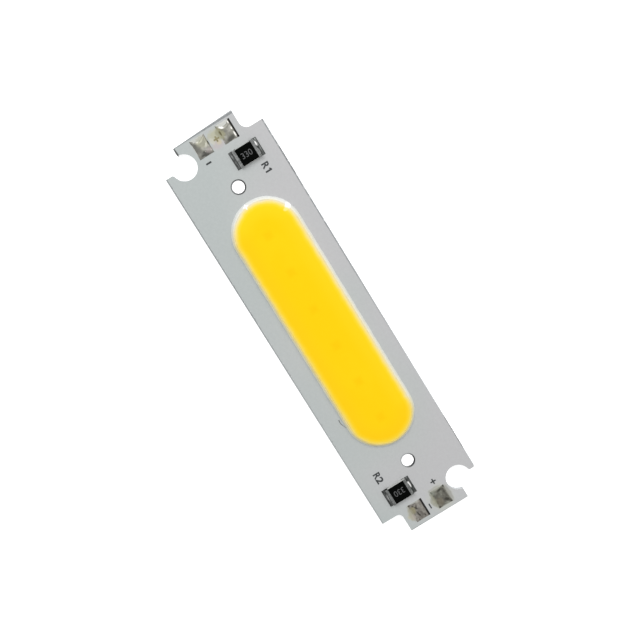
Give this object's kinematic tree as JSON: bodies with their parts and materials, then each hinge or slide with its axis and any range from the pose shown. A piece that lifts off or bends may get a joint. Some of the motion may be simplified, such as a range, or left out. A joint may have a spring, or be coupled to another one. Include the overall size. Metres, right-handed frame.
{
  "type": "chip-on-board led strip module",
  "caption": "Flat rectangular light module: a long yellow phosphor field with round ends on an aluminium-core board, with chip resistors, solder pads and screw holes.",
  "frame": {"origin": "middle of the board's back face", "axes": "+X along the board to the end with resistor R2, +Y to the long edge with the positive rail, +Z out of the lit face"},
  "size_m": [0.0616, 0.015, 0.0017],
  "materials": {
    "bare_aluminium": "rolled and bare, with scored and snapped edges",
    "filled_epoxy": "ceramic-filled epoxy, dull grey at its cut edge",
    "copper_foil": "etched copper foil",
    "white_solder_mask": "printed white lacquer, satin",
    "white_silicone": "dispensed white silicone, glossy",
    "phosphor_silicone": "silicone filled with yellow phosphor, glossy",
    "sapphire_die": "polished die",
    "die_adhesive": "cured adhesive",
    "gold_wire": "drawn gold",
    "alumina": "fired alumina, matt white",
    "ruthenium_film": "fired resistor paste",
    "black_glaze": "black glass overcoat",
    "tin_plate": "bright tin plate",
    "tin_solder": "tin solder, wrinkled where it cooled"
  },
  "bodies": {
    "root": {"aluminium_base": "bare_aluminium", "bond_wire_1": "gold_wire", "bond_wire_10": "gold_wire", "bond_wire_11": "gold_wire", "bond_wire_12": "gold_wire", "bond_wire_2": "gold_wire", "bond_wire_3": "gold_wire", "bond_wire_4": "gold_wire", "bond_wire_5": "gold_wire", "bond_wire_6": "gold_wire", "bond_wire_7": "gold_wire", "bond_wire_8": "gold_wire", "bond_wire_9": "gold_wire", "die_attach_1": "die_adhesive", "die_attach_2": "die_adhesive", "die_attach_3": "die_adhesive", "die_attach_4": "die_adhesive", "die_attach_5": "die_adhesive", "die_attach_6": "die_adhesive", "dielectric_layer": "filled_epoxy", "led_die_1": "sapphire_die", "led_die_2": "sapphire_die", "led_die_3": "sapphire_die", "led_die_4": "sapphire_die", "led_die_5": "sapphire_die", "led_die_6": "sapphire_die", "negative_copper": "copper_foil", "phosphor_gel": "phosphor_silicone", "positive_copper": "copper_foil", "r1_ceramic_body": "alumina", "r1_end_cap_inner": "tin_plate", "r1_end_cap_outer": "tin_plate", "r1_link_copper": "copper_foil", "r1_overcoat": "black_glaze", "r1_resistive_film": "ruthenium_film", "r1_solder_inner": "tin_solder", "r1_solder_outer": "tin_solder", "r2_ceramic_body": "alumina", "r2_end_cap_inner": "tin_plate", "r2_end_cap_outer": "tin_plate", "r2_link_copper": "copper_foil", "r2_overcoat": "black_glaze", "r2_resistive_film": "ruthenium_film", "r2_solder_inner": "tin_solder", "r2_solder_outer": "tin_solder", "silicone_dam": "white_silicone", "string_copper_1": "copper_foil", "string_copper_2": "copper_foil", "string_copper_3": "copper_foil", "string_copper_4": "copper_foil", "white_solder_mask": "white_solder_mask", "wire_pad_solder_1": "tin_solder", "wire_pad_solder_2": "tin_solder", "wire_pad_solder_3": "tin_solder", "wire_pad_solder_4": "tin_solder"}
  },
  "joints": []
}
